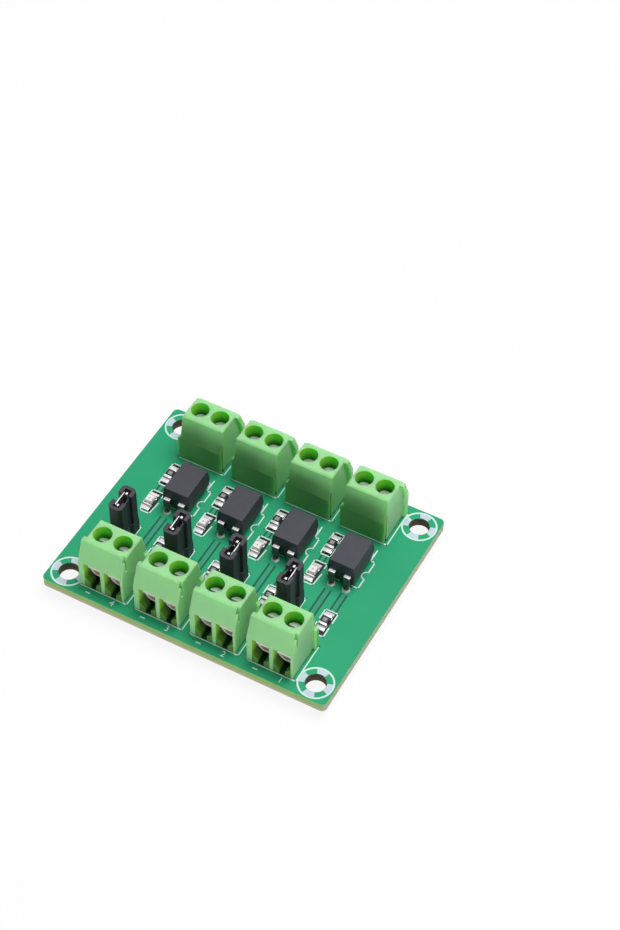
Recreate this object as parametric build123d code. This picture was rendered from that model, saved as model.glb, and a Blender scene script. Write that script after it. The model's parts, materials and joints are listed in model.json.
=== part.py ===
from build123d import *
import os

# Four-channel optocoupler isolation board, in millimetres.
# The origin is the centre of the four mounting holes, on the underside of the board.
# +X runs along the long side, +Y from the output terminals to the input terminals, +Z up.

# Circuit board
BOARD_LENGTH = 48.0
BOARD_WIDTH = 39.0
BOARD_THICKNESS = 1.6
BOARD_CORNER_RADIUS = 0.8
MOUNT_EDGE_DISTANCE = 3.0
MOUNT_HOLE_DIAMETER = 3.2

# Layout of the channels; channel 1 is the one with the highest X
CHANNELS = 4
CHANNEL_END_MARGIN = 5.0
OUTPUT_ROW_EDGE_DISTANCE = 5.4
INPUT_ROW_EDGE_DISTANCE = 5.1
COUPLER_OFFSET_X = 1.4
COUPLER_Y = 4.25
HEADER_OFFSET_X = -3.05
HEADER_Y = -6.45
INPUT_RESISTOR_OFFSET_X = -3.25
INPUT_RESISTOR_Y = 7.05
LED_OFFSET_X = -3.25
LED_Y = 0.95
OUTPUT_RESISTOR_OFFSET_X = 2.7
OUTPUT_RESISTOR_Y = -6.2

# Leads that pass through the board
LEAD_TAIL = 1.5
LEAD_HOLE_PLAY = 0.1

# How far a cut runs past the surface that it opens
CUT_OVERRUN = 0.2

# Terminal housing; its wire side faces -Y, and its heights are above the board
POLE_PITCH = 3.5
HOUSING_END_WALL = 0.4
ENTRY_WIDTH = 2.8
HOUSING_DEPTH = 6.9
HOUSING_HEIGHT = 8.95
FRONT_KNEE_HEIGHT = 5.2
FRONT_LEAN = 1.45
REAR_KNEE_HEIGHT = 4.5
REAR_LEAN = 0.95
HOUSING_TOP_BEVEL = 0.2
WELL_DIAMETER = 2.9
WELL_Y = 0.2
SILL_SIDE_HEIGHT = 1.75
SILL_SLOT_HEIGHT = 0.95
SILL_SLOT_WIDTH = 1.0
FLANGE_REACH = 0.5
FLANGE_THICKNESS = 0.8
GROOVE_DEPTH = 0.45
GROOVE_MOUTH = 0.4
GROOVE_FLOOR = 0.7
FRONT_GROOVE_SETBACK = 1.4
FRONT_GROOVE_BOTTOM = 5.9
REAR_FLANGE_HEIGHT = 5.0
REAR_FLANGE_SLOPE = 0.5
REAR_GROOVE_SETBACK = 0.6
REAR_GROOVE_HEIGHT = 5.9

# Clamp frame, a bent metal ring that carries the screw thread, the trough and the solder leg
FRAME_PLAY = 0.03
FRAME_WALL = 0.22
FRAME_DEPTH = 4.0
FRAME_TROUGH_LOW = 1.2
FRAME_TROUGH_RISE = 0.75
FRAME_TROUGH_WIDTH = 1.9
FRAME_TROUGH_THICKNESS = 0.3
# Folds of the trough, each as shares of its half width and of its rise
FRAME_TROUGH_FOLDS = [(1, 1), (0.75, 0.45), (0.35, 0)]
FRAME_TOP_HEIGHT = 5.15
FRAME_TOP_THICKNESS = 0.75
FRAME_FLOOR_PLAY = 0.05
CHAMBER_PIT_SETBACK = 0.6
TERMINAL_LEG_WIDTH = 0.8
TERMINAL_LEG_THICKNESS = 0.5
TERMINAL_LEG_Y = 0.8
TERMINAL_LEG_PLAY = 0.05

# Clamp screw; it and its bore repeat many times, so they have flats in place of a round
SCREW_SIDES = 12
BORE_SIDES = 8
SCREW_RADIUS = 1.1
THREAD_CLEARANCE = 0.03
SCREW_TOP_HEIGHT = 6.85
SCREW_SLOT_WIDTH = 0.45
SCREW_SLOT_DEPTH = 0.7

# Wire guard, the curved plate that the screw presses onto the wire
GUARD_WIDTH = 1.84
GUARD_THICKNESS = 0.3
GUARD_FLAT_WIDTH = 1.4
GUARD_WING_RISE = 0.2
GUARD_LOW_HEIGHT = 3.8
GUARD_FRONT = -2.75
GUARD_REAR = 1.5
GUARD_LIP_TOP = 4.85
GUARD_LIP_LEAN = 0.15
GUARD_SCREW_GAP = 0.02

# Optocoupler
COUPLER_LENGTH = 6.5
COUPLER_WIDTH = 4.58
COUPLER_BODY_HEIGHT = 3.55
COUPLER_STANDOFF = 0.95
COUPLER_BAND = 0.3
COUPLER_DRAFT_ANGLE = 7.0
COUPLER_ROW_SPACING = 7.62
COUPLER_LEAD_PITCH = 2.54
COUPLER_LEAD_THICKNESS = 0.25
COUPLER_LEAD_SHOULDER = 1.15
COUPLER_LEAD_TAIL_WIDTH = 0.5
COUPLER_LEAD_SHOULDER_END = 1.0

# Pin header and jumper
HEADER_PITCH = 2.54
HEADER_CHAMFER = 0.45
HEADER_NOTCH_LENGTH = 0.2
HEADER_NOTCH_DEPTH = 0.45
HEADER_BASE_HEIGHT = 2.5
HEADER_PIN_SIZE = 0.64
HEADER_PIN_HEIGHT = 8.5
HEADER_PIN_POINT = 0.3
HEADER_PIN_POINT_INSET = 0.16
JUMPER_SIDE_PLAY = 0.08
JUMPER_SEAT_GAP = 0.05
JUMPER_HEIGHT = 6.15
JUMPER_WAIST_DEPTH = 0.42
JUMPER_WAIST_LENGTH = 1.3
JUMPER_WAIST_FLARE = 0.1
JUMPER_SADDLE_DEPTH = 0.55
JUMPER_SOCKET_END_GAP = 0.3
JUMPER_CLIP_THICKNESS = 0.2
JUMPER_CLIP_PIN_GAP = 0.03
JUMPER_CLIP_TOP_INSET = 0.3
JUMPER_CLIP_LENGTH = 4.3
JUMPER_CLIP_WEB_RISE = 1.0
JUMPER_CLIP_WEB_LENGTH = 2.7
JUMPER_CLIP_ARM_LENGTH = 0.85
# Jumpers put on with the clip's web at +X; on the others it is at -X
TURNED_JUMPERS = (1, 2)

# Surface-mounted parts
CHIP_LENGTH = 2.0
CHIP_WIDTH = 1.25
CHIP_HEIGHT = 0.5
CHIP_CAP_LENGTH = 0.4
CHIP_CAP_PROUD = 0.03
LED_BASE_HEIGHT = 0.35
LED_LENS_LENGTH = 1.3
LED_LENS_HEIGHT = 0.45
LED_LENS_TAPER = 0.1

# Solder
SOLDER_SIDES = 6
PAD_FILM = 0.06
PAD_WIDTH = 1.4
PAD_INNER_LAP = 0.45
PAD_OUTER_REACH = 0.75
CHIP_FILLET_HEIGHT = 0.42
CHIP_FILLET_KNEE_REACH = 0.3
CHIP_FILLET_KNEE_HEIGHT = 0.14
JOINT_FOOT_RADIUS = 0.8
JOINT_NECK_RADIUS = 0.5
JOINT_HEIGHT = 0.9
COLLAR_FOOT_RADIUS = 0.72
COLLAR_NECK_RADIUS = 0.42
COLLAR_HEIGHT = 0.4

# Sizes that follow from the ones above
MOUNT_SPACING_X = BOARD_LENGTH - 2 * MOUNT_EDGE_DISTANCE
MOUNT_SPACING_Y = BOARD_WIDTH - 2 * MOUNT_EDGE_DISTANCE
CHANNEL_PITCH = (BOARD_LENGTH - 2 * CHANNEL_END_MARGIN) / CHANNELS
OUTPUT_ROW_Y = -BOARD_WIDTH / 2 + OUTPUT_ROW_EDGE_DISTANCE
INPUT_ROW_Y = BOARD_WIDTH / 2 - INPUT_ROW_EDGE_DISTANCE
HOUSING_WIDTH = POLE_PITCH + ENTRY_WIDTH + 2 * HOUSING_END_WALL
FRONT_FACE = -HOUSING_DEPTH / 2
REAR_FACE = HOUSING_DEPTH / 2
FRAME_HALF_WIDTH = ENTRY_WIDTH / 2 - FRAME_PLAY
FRAME_FRONT = WELL_Y - FRAME_DEPTH / 2
CHAMBER_FRONT = FRAME_FRONT - FRAME_FLOOR_PLAY
CHAMBER_REAR = WELL_Y + FRAME_DEPTH / 2 + FRAME_FLOOR_PLAY
CHAMBER_PIT_REAR = WELL_Y - CHAMBER_PIT_SETBACK
SCREW_TIP_HEIGHT = GUARD_LOW_HEIGHT + GUARD_WING_RISE + GUARD_THICKNESS + GUARD_SCREW_GAP
JUMPER_SEAT = HEADER_BASE_HEIGHT + JUMPER_SEAT_GAP
JUMPER_SOCKET_WIDTH = HEADER_PIN_SIZE + 2 * (JUMPER_CLIP_PIN_GAP + JUMPER_CLIP_THICKNESS)
COUPLER_LEAD_HEIGHT = COUPLER_STANDOFF + COUPLER_BODY_HEIGHT / 2


def between(low, high):
    """A block that spans two opposite corners."""
    size = [high[i] - low[i] for i in range(3)]
    middle = [(high[i] + low[i]) / 2 for i in range(3)]
    return Pos(*middle) * Box(*size)


def prism(points, plane, amount, both=False):
    """A polygon drawn on a plane and pushed along the plane's normal."""
    face = plane * make_face(Polyline(*points, close=True))
    return extrude(face, amount=amount, both=both)


def channel_x(channel):
    """The X of a channel's terminals, for channels 1 to CHANNELS."""
    return ((CHANNELS + 1) / 2 - channel) * CHANNEL_PITCH


def on_board(x, y, turned=False):
    """Places a piece drawn with its base at Z = 0 on the board's upper side."""
    place = Pos(x, y, BOARD_THICKNESS)
    return place * Rot(0, 0, 180) if turned else place


def terminal_places():
    """The name and the place of each terminal block."""
    places = {}
    for channel in range(1, CHANNELS + 1):
        places[f"output_{channel}"] = on_board(channel_x(channel), OUTPUT_ROW_Y)
    for channel in range(1, CHANNELS + 1):
        places[f"input_{channel}"] = on_board(channel_x(channel), INPUT_ROW_Y, turned=True)
    return places


def pole_offsets():
    """The name and the X of the two poles, seen from the wire side."""
    return {"left": -POLE_PITCH / 2, "right": POLE_PITCH / 2}


def housing_shell():
    """The outer form: upright below the knees, leaning inwards above them."""
    knee_front = (FRONT_FACE, FRONT_KNEE_HEIGHT)
    top_front = (FRONT_FACE + FRONT_LEAN, HOUSING_HEIGHT)
    top_rear = (REAR_FACE - REAR_LEAN, HOUSING_HEIGHT)
    knee_rear = (REAR_FACE, REAR_KNEE_HEIGHT)
    outline = [(FRONT_FACE, 0), knee_front, top_front, top_rear, knee_rear, (REAR_FACE, 0)]
    shell = prism(outline, Plane.YZ, HOUSING_WIDTH / 2, both=True)
    top = shell.faces().sort_by(Axis.Z)[-1]
    return chamfer(top.edges(), HOUSING_TOP_BEVEL)


def front_flange():
    """The strip of the front wall that stands out on the left and hooks the next block."""
    inner = FRONT_FACE + FLANGE_THICKNESS
    outline = [
        (FRONT_FACE, 0),
        (FRONT_FACE, FRONT_KNEE_HEIGHT),
        (FRONT_FACE + FRONT_LEAN, HOUSING_HEIGHT - HOUSING_TOP_BEVEL),
        (inner + FRONT_LEAN, HOUSING_HEIGHT - HOUSING_TOP_BEVEL),
        (inner, FRONT_KNEE_HEIGHT),
        (inner, 0),
    ]
    strip = prism(outline, Plane.YZ, FLANGE_REACH + HOUSING_END_WALL)
    return Pos(-HOUSING_WIDTH / 2 - FLANGE_REACH, 0, 0) * strip


def rear_flange():
    """The lower rail at the right of the rear wall, with a sloping upper end."""
    side = HOUSING_WIDTH / 2
    outline = [
        (side - HOUSING_END_WALL, 0),
        (side + FLANGE_REACH, 0),
        (side + FLANGE_REACH, REAR_FLANGE_HEIGHT - REAR_FLANGE_SLOPE),
        (side, REAR_FLANGE_HEIGHT),
        (side - HOUSING_END_WALL, REAR_FLANGE_HEIGHT),
    ]
    rail = prism(outline, Plane.XZ, FLANGE_THICKNESS)
    return Pos(0, REAR_FACE, 0) * rail & housing_depth_limit()


def housing_depth_limit():
    """The housing's side outline, wider than the block, to trim what stands beside it."""
    outline = [
        (FRONT_FACE, 0),
        (FRONT_FACE, HOUSING_HEIGHT),
        (REAR_FACE - REAR_LEAN, HOUSING_HEIGHT),
        (REAR_FACE, REAR_KNEE_HEIGHT),
        (REAR_FACE, 0),
    ]
    return prism(outline, Plane.YZ, HOUSING_WIDTH, both=True)


def side_groove(side, middle_y, bottom, top):
    """An upright dovetail groove in the left (-1) or right (+1) side."""
    face = side * HOUSING_WIDTH / 2
    outline = [
        (face + side * CUT_OVERRUN, middle_y - GROOVE_MOUTH / 2),
        (face + side * CUT_OVERRUN, middle_y + GROOVE_MOUTH / 2),
        (face - side * GROOVE_DEPTH, middle_y + GROOVE_FLOOR / 2),
        (face - side * GROOVE_DEPTH, middle_y - GROOVE_FLOOR / 2),
    ]
    return Pos(0, 0, bottom) * prism(outline, Plane.XY, top - bottom)


def wire_entry():
    """The passage to one clamp: straight sides, a funnel floor and a slot through the sill."""
    half = ENTRY_WIDTH / 2
    slot = SILL_SLOT_WIDTH / 2
    outline = [
        (-half, FRONT_KNEE_HEIGHT),
        (-half, SILL_SIDE_HEIGHT),
        (-slot, SILL_SLOT_HEIGHT),
        (-slot, -CUT_OVERRUN),
        (slot, -CUT_OVERRUN),
        (slot, SILL_SLOT_HEIGHT),
        (half, SILL_SIDE_HEIGHT),
        (half, FRONT_KNEE_HEIGHT),
    ]
    passage = prism(outline, Plane.XZ, CHAMBER_FRONT - FRONT_FACE + CUT_OVERRUN)
    return Pos(0, CHAMBER_FRONT, 0) * passage


def clamp_chamber():
    """The space of one clamp: the chamber, its pit, the screw well above and the leg's slot below."""
    half = ENTRY_WIDTH / 2
    floor = FRAME_TROUGH_LOW - FRAME_FLOOR_PLAY
    chamber = between((-half, CHAMBER_FRONT, floor), (half, CHAMBER_REAR, FRONT_KNEE_HEIGHT))
    chamber += between((-half, CHAMBER_FRONT, -CUT_OVERRUN), (half, CHAMBER_PIT_REAR, floor))
    well = Pos(0, WELL_Y, FRONT_KNEE_HEIGHT) * Cylinder(
        WELL_DIAMETER / 2, HOUSING_HEIGHT, align=(Align.CENTER, Align.CENTER, Align.MIN)
    )
    leg_x = TERMINAL_LEG_WIDTH / 2 + TERMINAL_LEG_PLAY
    leg_y = TERMINAL_LEG_THICKNESS / 2 + TERMINAL_LEG_PLAY
    slot = between(
        (-leg_x, TERMINAL_LEG_Y - leg_y, -CUT_OVERRUN), (leg_x, TERMINAL_LEG_Y + leg_y, floor)
    )
    return chamber + well + slot


def terminal_housing():
    """One two-pole housing, moulded in one piece."""
    groove_y = FRONT_FACE + FRONT_GROOVE_SETBACK
    rear_groove_y = REAR_FACE - REAR_GROOVE_SETBACK
    body = housing_shell() + front_flange() + rear_flange()
    body -= side_groove(1, groove_y, FRONT_GROOVE_BOTTOM, HOUSING_HEIGHT)
    body -= side_groove(-1, rear_groove_y, 0, REAR_GROOVE_HEIGHT)
    for x in pole_offsets().values():
        body -= Pos(x, 0, 0) * (wire_entry() + clamp_chamber())
    return body


def trough_outline(half_width, low):
    """A folded trough's outline, from the left rim over the bottom to the right rim."""
    left = [(-across * half_width, low + up * FRAME_TROUGH_RISE) for across, up in FRAME_TROUGH_FOLDS]
    return left + [(-x, z) for x, z in reversed(left)]


def clamp_frame():
    """One fixed clamp frame: a ring with the screw's thread at the top, a trough and a leg below."""
    inner = FRAME_HALF_WIDTH - FRAME_WALL
    window_high = FRAME_TOP_HEIGHT - FRAME_TOP_THICKNESS
    hollow = trough_outline(FRAME_TROUGH_WIDTH / 2, FRAME_TROUGH_LOW + FRAME_TROUGH_THICKNESS)
    rim = hollow[0][1]
    under = trough_outline(FRAME_HALF_WIDTH, FRAME_TROUGH_LOW)
    outer = under + [(FRAME_HALF_WIDTH, FRAME_TOP_HEIGHT), (-FRAME_HALF_WIDTH, FRAME_TOP_HEIGHT)]
    window = [(-inner, rim)] + hollow + [(inner, rim), (inner, window_high), (-inner, window_high)]
    rear = WELL_Y + FRAME_DEPTH / 2
    ring = Pos(0, rear, 0) * (
        prism(outer, Plane.XZ, FRAME_DEPTH) - prism(window, Plane.XZ, FRAME_DEPTH)
    )
    bore = RegularPolygon(SCREW_RADIUS + THREAD_CLEARANCE, BORE_SIDES, major_radius=False)
    ring -= Pos(0, WELL_Y, window_high - CUT_OVERRUN) * extrude(bore, 2 * FRAME_TOP_THICKNESS)
    return ring + terminal_leg()


def terminal_leg():
    """The leg below a clamp frame, through the board to its soldered tail."""
    return between(
        (
            -TERMINAL_LEG_WIDTH / 2,
            TERMINAL_LEG_Y - TERMINAL_LEG_THICKNESS / 2,
            -BOARD_THICKNESS - LEAD_TAIL,
        ),
        (
            TERMINAL_LEG_WIDTH / 2,
            TERMINAL_LEG_Y + TERMINAL_LEG_THICKNESS / 2,
            FRAME_TROUGH_LOW + FRAME_TROUGH_THICKNESS / 2,
        ),
    )


def clamp_screw():
    """One headless clamp screw, backed out: a slotted cylinder whose end rests on the guard's edges."""
    top = SCREW_TOP_HEIGHT
    length = top - SCREW_TIP_HEIGHT
    screw = Pos(0, 0, SCREW_TIP_HEIGHT) * extrude(RegularPolygon(SCREW_RADIUS, SCREW_SIDES), length)
    slot = between(
        (-SCREW_RADIUS, -SCREW_SLOT_WIDTH / 2, top - SCREW_SLOT_DEPTH),
        (SCREW_RADIUS, SCREW_SLOT_WIDTH / 2, top),
    )
    return Pos(0, WELL_Y, 0) * (screw - slot)


def wire_guard():
    """One wire guard: a strip folded into a trough, with its front end bent up into a lip."""
    half = GUARD_WIDTH / 2
    flat = GUARD_FLAT_WIDTH / 2
    low = GUARD_LOW_HEIGHT
    wing = low + GUARD_WING_RISE
    under = [(half, wing), (flat, low), (-flat, low), (-half, wing)]
    section = under + [(x, z + GUARD_THICKNESS) for x, z in reversed(under)]
    trough = Pos(0, GUARD_REAR, 0) * prism(section, Plane.XZ, GUARD_REAR - GUARD_FRONT)
    foot = low + GUARD_THICKNESS / 2
    lip_front = GUARD_FRONT - GUARD_LIP_LEAN
    outline = [
        (GUARD_FRONT, foot),
        (lip_front, GUARD_LIP_TOP),
        (lip_front + GUARD_THICKNESS, GUARD_LIP_TOP),
        (GUARD_FRONT + GUARD_THICKNESS, foot),
    ]
    return trough + prism(outline, Plane.YZ, GUARD_FLAT_WIDTH / 2, both=True)


def coupler_half(height, draft):
    """One half of the coupler's body, from its parting band towards one end."""
    footprint = Rectangle(COUPLER_WIDTH, COUPLER_LENGTH)
    return extrude(footprint, amount=height, taper=draft)


def coupler_body():
    """One optocoupler body: two drafted halves on a parting band."""
    half = (COUPLER_BODY_HEIGHT - COUPLER_BAND) / 2
    band = Pos(0, 0, COUPLER_LEAD_HEIGHT) * Box(COUPLER_WIDTH, COUPLER_LENGTH, COUPLER_BAND)
    upper = Pos(0, 0, COUPLER_LEAD_HEIGHT + COUPLER_BAND / 2) * coupler_half(half, COUPLER_DRAFT_ANGLE)
    lower = (
        Pos(0, 0, COUPLER_LEAD_HEIGHT - COUPLER_BAND / 2)
        * Rot(180, 0, 0)
        * coupler_half(half, COUPLER_DRAFT_ANGLE)
    )
    return band + upper + lower


def coupler_lead():
    """One lead at +Y: out of the parting band, over the shoulder and down through the board."""
    row = COUPLER_ROW_SPACING / 2
    thick = COUPLER_LEAD_THICKNESS
    top = COUPLER_LEAD_HEIGHT + thick / 2
    shoulder = between(
        (-COUPLER_LEAD_SHOULDER / 2, COUPLER_LENGTH / 2, top - thick),
        (COUPLER_LEAD_SHOULDER / 2, row + thick / 2, top),
    )
    drop = between(
        (-COUPLER_LEAD_SHOULDER / 2, row - thick / 2, COUPLER_LEAD_SHOULDER_END),
        (COUPLER_LEAD_SHOULDER / 2, row + thick / 2, top),
    )
    bend = shoulder + drop
    outer = bend.edges().filter_by(Axis.X).sort_by(Axis.Y)[-2:].sort_by(Axis.Z)[-1:]
    bend = chamfer(outer, thick / 2)
    return bend + coupler_tail()


def coupler_tail():
    """The narrow end of a coupler lead, below its shoulder."""
    row = COUPLER_ROW_SPACING / 2
    half_thick = COUPLER_LEAD_THICKNESS / 2
    return between(
        (-COUPLER_LEAD_TAIL_WIDTH / 2, row - half_thick, -BOARD_THICKNESS - LEAD_TAIL),
        (COUPLER_LEAD_TAIL_WIDTH / 2, row + half_thick, COUPLER_LEAD_SHOULDER_END),
    )


def coupler_lead_places():
    """Where the four leads of a coupler sit, as turns and shifts of the lead at +Y."""
    half = COUPLER_LEAD_PITCH / 2
    return [Rot(0, 0, turn) * Pos(x, 0, 0) for turn in (0, 180) for x in (-half, half)]


def two_lobe_outline(width, chamfer, waist_length, waist_depth, waist_flare):
    """The outline of a two-pin moulding: chamfered ends and a waist between the pins."""
    half_x = width / 2
    half_y = HEADER_PITCH / 2 + half_x
    waist = waist_length / 2
    quarter = [
        (half_x - waist_depth, waist),
        (half_x, waist + waist_flare),
        (half_x, half_y - chamfer),
        (half_x - chamfer, half_y),
    ]
    upper = quarter + [(-x, y) for x, y in reversed(quarter)]
    return upper + [(-x, -y) for x, y in upper]


def header_base():
    """The plastic base of one two-pin header."""
    outline = two_lobe_outline(
        HEADER_PITCH, HEADER_CHAMFER, HEADER_NOTCH_LENGTH, HEADER_NOTCH_DEPTH, HEADER_NOTCH_DEPTH
    )
    base = prism(outline, Plane.XY, HEADER_BASE_HEIGHT)
    for y in (-HEADER_PITCH / 2, HEADER_PITCH / 2):
        base -= Pos(0, y, HEADER_BASE_HEIGHT / 2) * Box(
            HEADER_PIN_SIZE, HEADER_PIN_SIZE, HEADER_BASE_HEIGHT
        )
    return base


def header_pin():
    """One square pin with pointed ends, tail and all."""
    low = -BOARD_THICKNESS - LEAD_TAIL
    length = HEADER_PIN_HEIGHT - low
    pin = Pos(0, 0, low + length / 2) * Box(HEADER_PIN_SIZE, HEADER_PIN_SIZE, length)
    top = pin.faces().sort_by(Axis.Z)[-1]
    return chamfer(top.edges(), HEADER_PIN_POINT, HEADER_PIN_POINT_INSET)


def jumper_cap():
    """One jumper's moulding: two lobes open at both ends, joined by a saddle."""
    width = HEADER_PITCH - 2 * JUMPER_SIDE_PLAY
    outline = two_lobe_outline(
        width, HEADER_CHAMFER, JUMPER_WAIST_LENGTH, JUMPER_WAIST_DEPTH, JUMPER_WAIST_FLARE
    )
    body = Pos(0, 0, JUMPER_SEAT) * prism(outline, Plane.XY, JUMPER_HEIGHT)
    top = JUMPER_SEAT + JUMPER_HEIGHT
    reach = JUMPER_WAIST_LENGTH / 2 + JUMPER_WAIST_FLARE
    notch = [
        (-reach, top),
        (-JUMPER_WAIST_LENGTH / 2, top - JUMPER_SADDLE_DEPTH),
        (JUMPER_WAIST_LENGTH / 2, top - JUMPER_SADDLE_DEPTH),
        (reach, top),
    ]
    saddle = prism(notch, Plane.YZ, HEADER_PITCH, both=True)
    socket_end = HEADER_PITCH / 2 + HEADER_PIN_SIZE / 2 + JUMPER_SOCKET_END_GAP
    socket = between(
        (-JUMPER_SOCKET_WIDTH / 2, -socket_end, JUMPER_SEAT),
        (JUMPER_SOCKET_WIDTH / 2, socket_end, top),
    )
    return body - saddle - socket


def jumper_clip():
    """One jumper's spring clip: a C round both pins, with its web standing up between them."""
    inner_x = HEADER_PIN_SIZE / 2 + JUMPER_CLIP_PIN_GAP
    outer_x = inner_x + JUMPER_CLIP_THICKNESS
    inner_y = HEADER_PITCH / 2 + inner_x
    outer_y = inner_y + JUMPER_CLIP_THICKNESS
    arm_end = outer_y - JUMPER_CLIP_ARM_LENGTH
    half = [(inner_x, arm_end), (outer_x, arm_end), (outer_x, outer_y), (-outer_x, outer_y)]
    inside = [(inner_x, inner_y), (-inner_x, inner_y)]
    outline = half + [(x, -y) for x, y in reversed(half)]
    outline += [(x, -y) for x, y in inside] + inside[::-1]
    top = JUMPER_SEAT + JUMPER_HEIGHT - JUMPER_CLIP_TOP_INSET
    low = top - JUMPER_CLIP_WEB_RISE
    grip = Pos(0, 0, top - JUMPER_CLIP_LENGTH) * prism(
        outline, Plane.XY, JUMPER_CLIP_LENGTH - JUMPER_CLIP_WEB_RISE
    )
    web_end = JUMPER_CLIP_WEB_LENGTH / 2
    return grip + between((-outer_x, -web_end, low), (-inner_x, web_end, top))


def chip_resistor():
    """One chip resistor along Y, with its two end caps."""
    body = Pos(0, 0, PAD_FILM + CHIP_HEIGHT / 2) * Box(CHIP_WIDTH, CHIP_LENGTH, CHIP_HEIGHT)
    for end in (-1, 1):
        middle = end * (CHIP_LENGTH - CHIP_CAP_LENGTH) / 2
        body += Pos(0, middle, PAD_FILM + (CHIP_HEIGHT + CHIP_CAP_PROUD) / 2) * Box(
            CHIP_WIDTH + 2 * CHIP_CAP_PROUD, CHIP_CAP_LENGTH, CHIP_HEIGHT + CHIP_CAP_PROUD
        )
    return body


def chip_led():
    """One chip light: a flat base with a tapered lens block."""
    base = Pos(0, 0, PAD_FILM + LED_BASE_HEIGHT / 2) * Box(CHIP_WIDTH, CHIP_LENGTH, LED_BASE_HEIGHT)
    lens = loft(
        [
            Pos(0, 0, PAD_FILM + LED_BASE_HEIGHT) * Rectangle(CHIP_WIDTH, LED_LENS_LENGTH),
            Pos(0, 0, PAD_FILM + LED_BASE_HEIGHT + LED_LENS_HEIGHT)
            * Rectangle(CHIP_WIDTH - 2 * LED_LENS_TAPER, LED_LENS_LENGTH - 2 * LED_LENS_TAPER),
        ]
    )
    return base + lens


def chip_solder():
    """The two solder fillets of one chip part along Y, each with its film under the part."""
    end = CHIP_LENGTH / 2
    outline = [
        (end - PAD_INNER_LAP, 0),
        (end + PAD_OUTER_REACH, 0),
        (end + PAD_OUTER_REACH, PAD_FILM),
        (end + CHIP_FILLET_KNEE_REACH, CHIP_FILLET_KNEE_HEIGHT),
        (end, CHIP_FILLET_HEIGHT),
        (end, PAD_FILM),
        (end - PAD_INNER_LAP, PAD_FILM),
    ]
    fillet_at_end = prism(outline, Plane.YZ, PAD_WIDTH / 2, both=True)
    return [Rot(0, 0, turn) * fillet_at_end for turn in (0, 180)]


def solder_cone(foot_radius, neck_radius, height):
    """A solder cone with its foot at Z = 0."""
    foot = RegularPolygon(foot_radius, SOLDER_SIDES)
    neck = Pos(0, 0, height) * RegularPolygon(neck_radius, SOLDER_SIDES)
    return loft([foot, neck])


def solder_joint(lead):
    """The solder cone under the board round a lead, with the lead's own shape left out."""
    cone = Rot(180, 0, 0) * solder_cone(JOINT_FOOT_RADIUS, JOINT_NECK_RADIUS, JOINT_HEIGHT)
    return Pos(0, 0, -BOARD_THICKNESS) * cone - lead


def solder_collar(lead):
    """The solder collar on the board round a lead that can be seen from above."""
    return solder_cone(COLLAR_FOOT_RADIUS, COLLAR_NECK_RADIUS, COLLAR_HEIGHT) - lead


def terminal_legs_on_board():
    """The board place of every terminal leg's centre."""
    legs = []
    for place in terminal_places().values():
        for x in pole_offsets().values():
            legs.append(place * Pos(x, TERMINAL_LEG_Y, 0))
    return legs


def coupler_tails_on_board():
    """The board place of every coupler lead's tail."""
    tails = []
    for channel in range(1, CHANNELS + 1):
        place = on_board(channel_x(channel) + COUPLER_OFFSET_X, COUPLER_Y)
        for lead_place in coupler_lead_places():
            tails.append(place * lead_place * Pos(0, COUPLER_ROW_SPACING / 2, 0))
    return tails


def header_pins_on_board():
    """The board place of every header pin."""
    pins = []
    for channel in range(1, CHANNELS + 1):
        place = on_board(channel_x(channel) + HEADER_OFFSET_X, HEADER_Y)
        for y in (-HEADER_PITCH / 2, HEADER_PITCH / 2):
            pins.append(place * Pos(0, y, 0))
    return pins


def chips_on_board(offset_x, y):
    """The board place of the chip part that each channel has at an offset."""
    return [on_board(channel_x(channel) + offset_x, y) for channel in range(1, CHANNELS + 1)]


def circuit_board():
    """The board with its mounting holes and lead holes."""
    outline = RectangleRounded(BOARD_LENGTH, BOARD_WIDTH, BOARD_CORNER_RADIUS)
    holes = [
        Pos(x * MOUNT_SPACING_X / 2, y * MOUNT_SPACING_Y / 2) * Circle(MOUNT_HOLE_DIAMETER / 2)
        for x in (-1, 1)
        for y in (-1, 1)
    ]
    for places, width, depth in (
        (terminal_legs_on_board(), TERMINAL_LEG_WIDTH, TERMINAL_LEG_THICKNESS),
        (coupler_tails_on_board(), COUPLER_LEAD_TAIL_WIDTH, COUPLER_LEAD_THICKNESS),
        (header_pins_on_board(), HEADER_PIN_SIZE, HEADER_PIN_SIZE),
    ):
        hole = Rectangle(width + 2 * LEAD_HOLE_PLAY, depth + 2 * LEAD_HOLE_PLAY)
        for place in places:
            holes.append(Pos(place.position.X, place.position.Y) * hole)
    return extrude(outline - holes, amount=BOARD_THICKNESS)


def solder():
    """Every solder joint, collar and chip fillet, each a solid of its own."""
    terminal_lead = Pos(0, -TERMINAL_LEG_Y, 0) * terminal_leg()
    coupler_lead_tail = Pos(0, -COUPLER_ROW_SPACING / 2, 0) * coupler_tail()
    pin = header_pin()
    pieces = [place * solder_joint(terminal_lead) for place in terminal_legs_on_board()]
    pieces += [place * solder_joint(coupler_lead_tail) for place in coupler_tails_on_board()]
    pieces += [place * solder_collar(coupler_lead_tail) for place in coupler_tails_on_board()]
    pieces += [place * solder_joint(pin) for place in header_pins_on_board()]
    for offset_x, y in chip_rows():
        for place in chips_on_board(offset_x, y):
            pieces += [place * piece for piece in chip_solder()]
    return pieces


def resistor_rows():
    """The offset and the Y of the two rows of resistors."""
    return [
        (INPUT_RESISTOR_OFFSET_X, INPUT_RESISTOR_Y),
        (OUTPUT_RESISTOR_OFFSET_X, OUTPUT_RESISTOR_Y),
    ]


def chip_rows():
    """The offset and the Y of every row of chip parts."""
    return resistor_rows() + [(LED_OFFSET_X, LED_Y)]


def group(pieces):
    """Several separate solids that share one node."""
    return Compound(children=[Part(piece.wrapped) for piece in pieces])


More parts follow.
